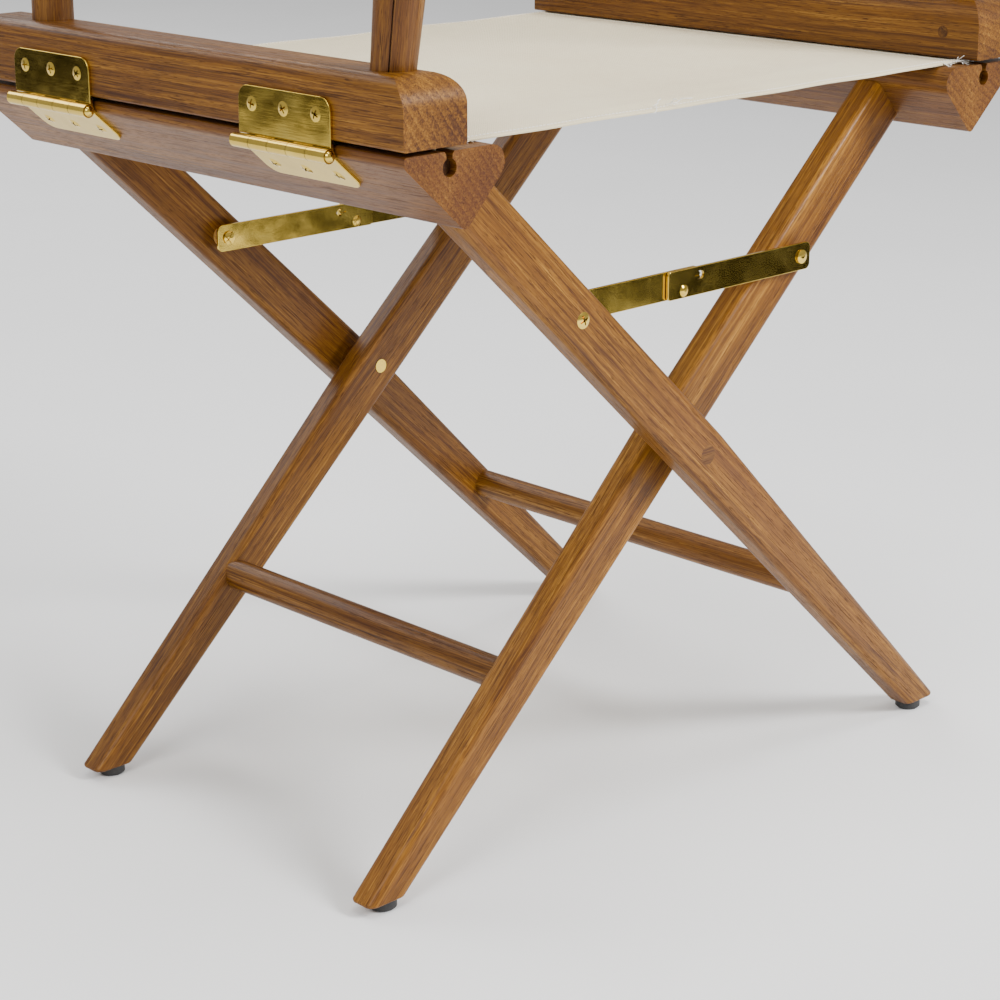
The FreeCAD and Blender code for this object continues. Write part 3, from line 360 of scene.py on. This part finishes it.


# columns: grain direction, tone, red. The tone is painted light and shade on top of the wood's own tone: higher on the
# left and rear parts nearest the camera, lower on the right and front parts that lie farther off in the chair's shade,
# and 0.35 on the seat rods paints the shade in the recessed rail slots
WOODS = {
    "leg_outer_rear": ("outer", 1.12, 0.00), "leg_outer_front": ("outer", 0.98, 0.05),
    "leg_inner_rear": ("inner", 1.22, 0.00), "leg_inner_front": ("inner", 0.96, 0.06),
    "stretcher_outer": ("y", 0.96, 0.08), "stretcher_inner": ("y", 1.02, 0.02),
    "seat_rail_left": ("y", 0.92, 0.22), "seat_rail_right": ("y", 0.86, 0.18),
    "seat_rod_left": ("y", 0.35, 0.10), "seat_rod_right": ("y", 0.35, 0.10),
    "base_rail_left": ("y", 1.10, 0.02), "base_rail_right": ("y", 0.94, 0.05),
    "post_plugs_left": ("x", 0.62, 0.15), "post_plugs_right": ("x", 0.55, 0.15),
    "front_post_left": ("z", 0.90, 0.10), "front_post_right": ("z", 0.86, 0.10),
    "back_post_left": ("post", 0.92, 0.12), "back_post_right": ("post", 0.88, 0.10),
    "armrest_left": ("y", 1.00, 0.03), "armrest_right": ("y", 0.96, 0.05),
    "pivot_plugs": ("x", 0.80, 0.10),
}
for i, (name, (grain, tone_and_shade, red)) in enumerate(WOODS.items()):
    paint(name, wood("teak_" + name, grain, 100 + i * 7, tone_and_shade, red), "wood")
for name, o in NODES.items():
    if name in WOODS or name in ("seat_canvas", "back_canvas"):
        continue
    if name.startswith("foot_"):
        paint(name, RUBBER, "rubber")
    elif "spacer" in name and name.startswith("brace"):
        paint(name, AMBER, "amber_spacer")
    else:
        paint(name, BRASS[sum(map(ord, name)) % 3], "brass")


# ------------------------------------------------------------------ cloth
def smooth(o):
    for p in o.data.polygons:
        p.use_smooth = True


def tube_into(verts, faces, uvs, mats, path, radius, mat, sides=6, cut=(0, 0)):
    """A closed thin tube along path, added to the lists of a mesh under construction."""
    start = len(verts)
    path = [Vector(p) for p in path]
    for i, p in enumerate(path):
        d = (path[min(i + 1, len(path) - 1)] - path[max(i - 1, 0)]).normalized()
        a = d.orthogonal().normalized()
        if abs(d.z) < 0.9:
            a = d.cross(Vector((0, 0, 1))).normalized()
        b = d.cross(a)
        r = radius * (0.55 if i in (0, len(path) - 1) else 1.0)
        for k in range(sides):
            t = 2 * math.pi * k / sides
            verts.append(p + (a * math.cos(t) + b * math.sin(t)) * r)
    n = len(path)
    for i in range(n - 1):
        for k in range(sides):
            k2 = (k + 1) % sides
            faces.append((start + i * sides + k, start + i * sides + k2, start + (i + 1) * sides + k2, start + (i + 1) * sides + k))
            mats.append(mat)
            uvs.append([cut] * 4)
    faces.append(tuple(start + k for k in reversed(range(sides))))
    faces.append(tuple(start + (n - 1) * sides + k for k in range(sides)))
    for _ in range(2):
        mats.append(mat)
        uvs.append([cut] * sides)


def shell(lines, us, vs, thick, wrap=False):
    """A closed skin about a grid of centre points lines[i][j] with its flat coordinates; thick(i, j) is half its thickness."""
    ni, nj = len(lines), len(lines[0])
    P = np.array([[tuple(p) for p in row] for row in lines])
    du = np.gradient(P, axis=0)
    if wrap:
        du[0] = du[-1] = P[1] - P[-2]
    dv = np.gradient(P, axis=1)
    nrm = np.cross(du, dv)
    nrm /= np.maximum(np.linalg.norm(nrm, axis=2, keepdims=True), 1e-12)
    T = np.array([[thick(i, j) for j in range(nj)] for i in range(ni)])[..., None]
    top, low = P + nrm * T, P - nrm * T
    verts = [Vector(p) for p in top.reshape(-1, 3)] + [Vector(p) for p in low.reshape(-1, 3)]
    off = ni * nj
    faces, uvs, mats = [], [], []

    def add(ids, cut):
        faces.append(tuple(ids))
        uvs.append(cut)
        mats.append(0)

    for i in range(ni - 1):
        for j in range(nj - 1):
            a, b, c, d = i * nj + j, (i + 1) * nj + j, (i + 1) * nj + j + 1, i * nj + j + 1
            q = [(us[i], vs[j]), (us[i + 1], vs[j]), (us[i + 1], vs[j + 1]), (us[i], vs[j + 1])]
            add((a, b, c, d), q)
            add((off + d, off + c, off + b, off + a), q[::-1])
    for j in range(nj - 1):
        for i, flip in ((0, False), (ni - 1, True)):
            a, d = i * nj + j, i * nj + j + 1
            ids = (a, d, off + d, off + a)
            q = [(us[i], vs[j]), (us[i], vs[j + 1]), (us[i] + 0.001, vs[j + 1]), (us[i] + 0.001, vs[j])]
            add(ids[::-1] if flip else ids, q[::-1] if flip else q)
    for i in range(ni - 1):
        for j, flip in ((0, True), (nj - 1, False)):
            a, b = i * nj + j, (i + 1) * nj + j
            ids = (a, b, off + b, off + a)
            q = [(us[i], vs[j]), (us[i + 1], vs[j]), (us[i + 1], vs[j] + 0.001), (us[i], vs[j] + 0.001)]
            add(ids[::-1] if flip else ids, q[::-1] if flip else q)
    return verts, faces, uvs, mats


def make(name, verts, faces, uvs, mats, materials):
    me = bpy.data.meshes.new(name)
    me.from_pydata([tuple(v) for v in verts], [], faces)
    layer = me.uv_layers.new(name="cut")
    me.polygons.foreach_set("material_index", mats)
    flat = [c for face in uvs for c in face]
    layer.data.foreach_set("uv", [x for c in flat for x in c])
    for m in materials:
        me.materials.append(m)
    me.validate()
    me.update()
    o = bpy.data.objects.new(name, me)
    bpy.context.scene.collection.objects.link(o)
    smooth(o)
    return o


def ridge(t, centre, width):
    return math.exp(-(((t - centre) / width) ** 2))


# --- seat: stretched flat over the two rails, its ends down the slits in them
rail_lo, rail_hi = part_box("seat_rail_left")
seat_lo, seat_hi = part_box("seat_canvas")
KX = 0.2470
Z0 = seat_hi.z - 0.00095
Y0, Y1 = seat_lo.y, seat_hi.y
profile = [(KX, Z0 - 0.0058), (KX, Z0 - 0.0042), (KX - 0.0001, Z0 - 0.0026), (KX - 0.0006, Z0 - 0.0013),
           (KX - 0.0016, Z0 - 0.0005), (KX - 0.0030, Z0 - 0.0001)]
span = 150
for k in range(1, span):
    profile.append((KX - 0.003 - (2 * KX - 0.006) * k / span, Z0))
profile += [(-x, z) for x, z in profile[5::-1]]
ys = sorted(set([Y0, Y1] + [Y0 + d for d in (0.0006, 0.0014, 0.0022, 0.0036, 0.0048, 0.0056, 0.0062, 0.0068, 0.0075)]
                + [Y1 - d for d in (0.0006, 0.0014, 0.0022, 0.0036, 0.0048, 0.0056, 0.0062, 0.0068, 0.0075)]
                + [Y0 + 0.0085 + (Y1 - Y0 - 0.017) * k / 130 for k in range(131)]))
us = [0.0]
for a, b in zip(profile, profile[1:]):
    us.append(us[-1] + math.hypot(b[0] - a[0], b[1] - a[1]))
creases = [(random.uniform(Y0 + 0.02, Y1 - 0.02), random.uniform(0.004, 0.011), random.uniform(-0.0005, 0.0006), random.uniform(-0.19, 0.19), random.uniform(0.04, 0.13)) for _ in range(16)]
creases += [(Y1 - 0.024, 0.006, 0.0006, 0.02, 0.15), (Y1 - 0.050, 0.009, 0.0006, -0.10, 0.10), (Y1 - 0.015, 0.004, -0.0005, 0.10, 0.09)]


def seat_z(x, y):
    inside = min(1.0, max(0.0, (0.205 - abs(x)) / 0.06))
    sag = -0.0020 * (1 - (x / 0.205) ** 2) * (1 if abs(x) < 0.205 else 0) * (1 - 0.85 * max(ridge(y, Y1, 0.06), ridge(y, Y0, 0.06)))
    w = 0.0
    for yc, wy, h, xc, wx in creases:
        w += h * ridge(y + 0.05 * (x - xc) * 0.2, yc, wy) * ridge(x, xc, wx)
    edge = 0.00022 * math.sin(x * 61 + 1) * ridge(y, Y1, 0.014) + 0.0005 * math.sin(x * 47) * ridge(y, Y0, 0.014)
    tug = 0.00035 * math.sin(y * 190 + x * 3) * ridge(abs(x), 0.20, 0.03)
    return inside * (sag + w + edge) + tug * inside


def seat_y(x, y):
    """The free edges pull in a little between the rails."""
    bow = (1 - min(1.0, abs(x) / 0.205) ** 2) * 0.0004
    near = ridge(y, Y1, 0.03) - ridge(y, Y0, 0.03)
    return y - bow * near + 0.00025 * math.sin(x * 83) * (ridge(y, Y1, 0.004) + ridge(y, Y0, 0.004))


grid = [[(x, seat_y(x, y), z + seat_z(x, y)) for y in ys] for x, z in profile]


def seat_thick(i, j):
    d = min(ys[j] - Y0, Y1 - ys[j])
    hem = 1.0 if d < 0.0058 else max(0.0, 1 - (d - 0.0058) / 0.0012)
    lip = math.sin(math.pi / 2 * min(1.0, (d + 0.0003) / 0.0014))
    return (0.00048 + 0.00045 * hem) * (0.55 + 0.45 * lip)


verts, faces, uvs, mats = shell(grid, us, [y - Y0 for y in ys], seat_thick)


def stitch_row(verts, faces, uvs, mats, point, length, pitch, gap, radius):
    s = 0.0
    while s + pitch < length:
        a, b = s + gap / 2, s + pitch - gap / 2
        path = []
        for t, lift in ((0, -0.00025), (0.18, 0.00012), (0.5, 0.00022), (0.82, 0.00012), (1, -0.00025)):
            p = Vector(point(a + (b - a) * t))
            path.append(p + Vector((0, 0, lift)))
        tube_into(verts, faces, uvs, mats, path, radius, 1)
        s += pitch * random.uniform(0.97, 1.03)


for y_line, sign in ((Y1 - 0.0046, 1), (Y0 + 0.0046, 1)):
    for side in (1, -1):
        def on_seat(s, y_line=y_line, side=side):
            x = KX - 0.004 - s
            return (x, seat_y(x, y_line), Z0 + seat_z(x, y_line) + side * 0.00088)
        stitch_row(verts, faces, uvs, mats, on_seat, 2 * KX - 0.008, 0.0030, 0.0007, 0.00032)
# two rows across the cloth that close the loops in the rails
for x_line in (0.2318, -0.2318):
    def over_rail(s, x_line=x_line):
        y = Y0 + 0.004 + s
        return (x_line, y, Z0 + 0.00055)
    stitch_row(verts, faces, uvs, mats, over_rail, Y1 - Y0 - 0.008, 0.0031, 0.0008, 0.00022)


def strand(p, dirs, n, step, radius, curl):
    """A loose thread end: a short wandering line that starts at p."""
    q, d, out = Vector(p), Vector(dirs).normalized(), [Vector(p)]
    for _ in range(n):
        d = (d + Vector((random.uniform(-curl, curl), random.uniform(-curl, curl), random.uniform(-curl, curl) * 0.35))).normalized()
        q = q + d * step
        q.z = min(max(q.z, Z0 - 0.004), seat_hi.z + 0.004)
        out.append(q.copy())
    tube_into(verts, faces, uvs, mats, out, radius, 1, sides=5)


for x, dx, n, curl in ((0.062, 1, 14, 0.5), (0.055, -1, 16, 0.6), (0.048, 1, 9, 0.8), (0.066, -0.4, 12, 0.7)):
    strand((x, Y1 - 0.0052, Z0 + 0.0013), (dx, 0.25, 0.30), n, 0.0012, 0.00030, curl)
for k in range(26):
    x = -KX + random.uniform(0.004, 0.030)
    strand((x, Y1 - random.uniform(-0.0002, 0.0012), Z0 + random.uniform(-0.0003, 0.0005)),
           (random.uniform(-0.9, 0.9), 0.8, random.uniform(-0.1, 0.4)), random.randint(4, 8), 0.0010, 0.00026, 0.7)
for k in range(7):
    x = KX - random.uniform(0.004, 0.030)
    strand((x, Y1 - random.uniform(-0.0002, 0.0010), Z0 + random.uniform(-0.0003, 0.0003)),
           (random.uniform(-0.9, 0.9), 0.8, random.uniform(-0.2, 0.2)), random.randint(2, 5), 0.0008, 0.00020, 0.7)

seat = make("seat_sling", verts, faces, uvs, mats, [CANVAS, THREAD])
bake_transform(seat)
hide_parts("seat_canvas")

# --- back: a sleeve on each post and one panel between them
back_lo, back_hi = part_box("back_canvas")


def axis_of(node):
    """Centre line of a post as one point and its lean direction: x from the middle of the whole post, y and z from the
    vertices near its top.
    """
    co = np.array([v.co for v in NODES[node].data.vertices], float)
    lean = ALONG["post"]
    lo, hi = co.min(0), co.max(0)
    cx = (lo[0] + hi[0]) / 2
    top = co[co[:, 2] > hi[2] - 0.02]
    cy = (top[:, 1].min() + top[:, 1].max()) / 2
    cz = (top[:, 2].min() + top[:, 2].max()) / 2
    base = Vector((cx, cy, cz))
    return base, lean


def on_axis(base, lean, z):
    return base + lean * ((z - base.z) / lean.z)


Z_LO, Z_HI = 0.7125, 0.8695
HB = (Z_HI - Z_LO) / math.cos(math.radians(8))
NORM = Vector((0, math.cos(math.radians(8)), -math.sin(math.radians(8))))
UP = ALONG["post"]
R_MID = 0.01180
zs = sorted(set([0, HB] + [d for d in (0.0008, 0.0020, 0.0090, 0.0100, 0.0110)] + [HB - d for d in (0.0008, 0.0020, 0.0090, 0.0100, 0.0110)]
                + [0.0125 + (HB - 0.025) * k / 46 for k in range(47)]))


def hem_thick(s):
    d = min(s, HB - s)
    hem = 1.0 if d < 0.0092 else max(0.0, 1 - (d - 0.0092) / 0.0016)
    return 0.00045 + 0.00022 * hem


for side, post, body in ((1, "back_post_left", "arm_left"), (-1, "back_post_right", "arm_right")):
    base, lean = axis_of(post)
    foot = on_axis(base, lean, Z_LO)
    rows, ulist = [], []
    n = 56
    for k in range(n + 1):
        t = 2 * math.pi * k / n
        r0 = R_MID
        row = []
        for s in zs:
            pucker = 0.00022 * math.sin(5 * t + s * 60) + 0.00016 * math.sin(s * 240 + 3 * t)
            p = foot + UP * s + Vector((side * math.cos(t), 0, 0)) * (r0 + pucker) + NORM * math.sin(t) * (r0 + pucker)
            row.append(p)
        rows.append(row)
        ulist.append(r0 * t)
    verts, faces, uvs, mats = shell(rows, ulist, zs, lambda i, j: hem_thick(zs[j]), wrap=True)
    sleeve = make("back_sleeve_" + ("left" if side > 0 else "right"), verts, faces, uvs, mats, [CANVAS, THREAD])
    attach(sleeve, body)

bl, lean = axis_of("back_post_left")
br, _ = axis_of("back_post_right")
left_foot, right_foot = on_axis(bl, lean, Z_LO), on_axis(br, lean, Z_LO)
XL, XR = left_foot.x, right_foot.x
cols = [0.0, 0.004, 0.009, 0.0135, 0.015, 0.0165, 0.018]
L = XL - XR
cols = cols + [0.02 + (L - 0.04) * k / 110 for k in range(111)] + [L - c for c in reversed(cols)]
folds = [(random.uniform(0.01, HB - 0.01), random.uniform(0.004, 0.012), random.uniform(-0.0006, 0.0008), random.uniform(0.06, L - 0.06), random.uniform(0.04, 0.14)) for _ in range(14)]


def panel(c, s):
    off = R_MID + 0.0010
    u = c / L
    belly = 0.0035 * math.sin(math.pi * min(1.0, max(0.0, (u - 0.12) / 0.76))) ** 2
    w = sum(h * ridge(s, sc, ws) * ridge(c, cc, wc) for sc, ws, h, cc, wc in folds)
    w += 0.0005 * math.sin(s * 150 + c * 6) * (ridge(c, 0.02, 0.02) + ridge(c, L - 0.02, 0.02))
    w += 0.0006 * math.sin(c * 40) * (ridge(s, 0, 0.02) + ridge(s, HB, 0.02))
    seam = 0.0003 * (ridge(c, 0.0165, 0.002) + ridge(c, L - 0.0165, 0.002))
    pull = 0.0022 * math.sin(math.pi * u) * (ridge(s, 0, 0.03) - ridge(s, HB, 0.03))
    return Vector((XL - c, left_foot.y, left_foot.z)) + UP * (s + pull) + NORM * (off - belly + w - seam)


rows = [[panel(c, s) for s in zs] for c in cols]
verts, faces, uvs, mats = shell(rows, cols, zs, lambda i, j: hem_thick(zs[j]))
for s_line in (0.0085, HB - 0.0085):
    for face in (1, -1):
        def along(s, s_line=s_line, face=face):
            return panel(0.004 + s, s_line) + NORM * (0.00062 * face)
        stitch_row(verts, faces, uvs, mats, along, L - 0.008, 0.0030, 0.0008, 0.00022)
for c_line in (0.0162, 0.0190, L - 0.0162, L - 0.0190):
    for face in (1, -1):
        def down(s, c_line=c_line, face=face):
            return panel(c_line, 0.003 + s) + NORM * (0.00050 * face)
        stitch_row(verts, faces, uvs, mats, down, HB - 0.006, 0.0030, 0.0008, 0.00022)
back = make("back_panel", verts, faces, uvs, mats, [CANVAS, THREAD])
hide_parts("back_canvas")
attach(back, "arm_left")
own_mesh(back)

# ------------------------------------------------------------------ stage
g = Graph("floor_white")
spots = g.noise(g.coords(), 3.0, 2.0, 0.5)
g.set(Base_Color=g.ramp(spots, [(0.3, (0.90, 0.90, 0.90)), (0.7, (0.92, 0.92, 0.92))]), Roughness=0.95)
g.bsdf.inputs["Specular IOR Level"].default_value = 0.0
bpy.ops.mesh.primitive_plane_add(size=60, location=(0, 0, -0.0002))
floor = bpy.context.object
floor.name = "floor"
floor.data.materials.append(g.mat)

world = bpy.data.worlds.new("studio")
bpy.context.scene.world = world
world.use_nodes = True
world.node_tree.nodes["Background"].inputs[0].default_value = (1.0, 1.0, 1.0, 1)
world.node_tree.nodes["Background"].inputs[1].default_value = 0.55


def lamp(name, place, target, size, power, colour=(1, 1, 1)):
    d = bpy.data.lights.new(name, "AREA")
    d.shape = "RECTANGLE"
    d.size, d.size_y = size
    d.energy = power
    d.color = colour
    o = bpy.data.objects.new(name, d)
    bpy.context.scene.collection.objects.link(o)
    o.location = place
    o.rotation_mode = "QUATERNION"
    o.rotation_quaternion = (Vector(target) - Vector(place)).to_track_quat("-Z", "Y")
    return o


lamp("key", (-0.9, 2.1, 1.7), (0, 0, 0.35), (0.7, 0.9), 88)
lamp("fill", (2.3, 0.6, 1.9), (0, 0, 0.35), (1.4, 1.2), 30)
lamp("top", (0.0, 0.2, 2.9), (0, 0, 0.4), (1.6, 1.6), 52)
lamp("wash", (0.0, -3.2, 2.6), (0, -2.4, 0.0), (3.0, 1.6), 60)

# dark boards that only the polished metal mirrors, so that it doesn't look like plain paint
d = Graph("board_dark")
d.set(Base_Color=d.ramp(d.noise(d.coords(), 4.0, 2.0, 0.5), [(0.3, (0.010, 0.010, 0.010)), (0.7, (0.016, 0.016, 0.016))]), Roughness=1.0)
d.bsdf.inputs["Specular IOR Level"].default_value = 0.0
boards = []
for name, place, size, turn in (
    ("board_left", (3.05, -3.35, 0.004), (3.4, 3.0), 44),
    ("board_right", (-1.50, 1.30, 0.004), (1.22, 1.05), 0),
    ("board_far", (-2.6, -2.4, 0.004), (1.6, 1.2), -46),
):
    bpy.ops.mesh.primitive_plane_add(size=1, location=place, rotation=(0, 0, math.radians(turn)))
    b = bpy.context.object
    b.name = name
    b.scale = (size[0], size[1], 1)
    b.data.materials.append(d.mat)
    b.visible_camera = b.visible_diffuse = b.visible_shadow = b.visible_transmission = False
    boards.append(b)

cam_data = bpy.data.cameras.new("camera")
cam = bpy.data.objects.new("camera", cam_data)
bpy.context.scene.collection.objects.link(cam)
cam_data.sensor_width = 36
cam_data.lens = 87.88
cam.location = (1.1428, 1.1623, 0.6999)
cam.rotation_mode = "QUATERNION"
cam.rotation_quaternion = (Vector((-0.05023, -0.05822, 0.15076)) - Vector(cam.location)).to_track_quat("-Z", "Y")
cam_data.clip_start = 0.05
bpy.context.scene.camera = cam
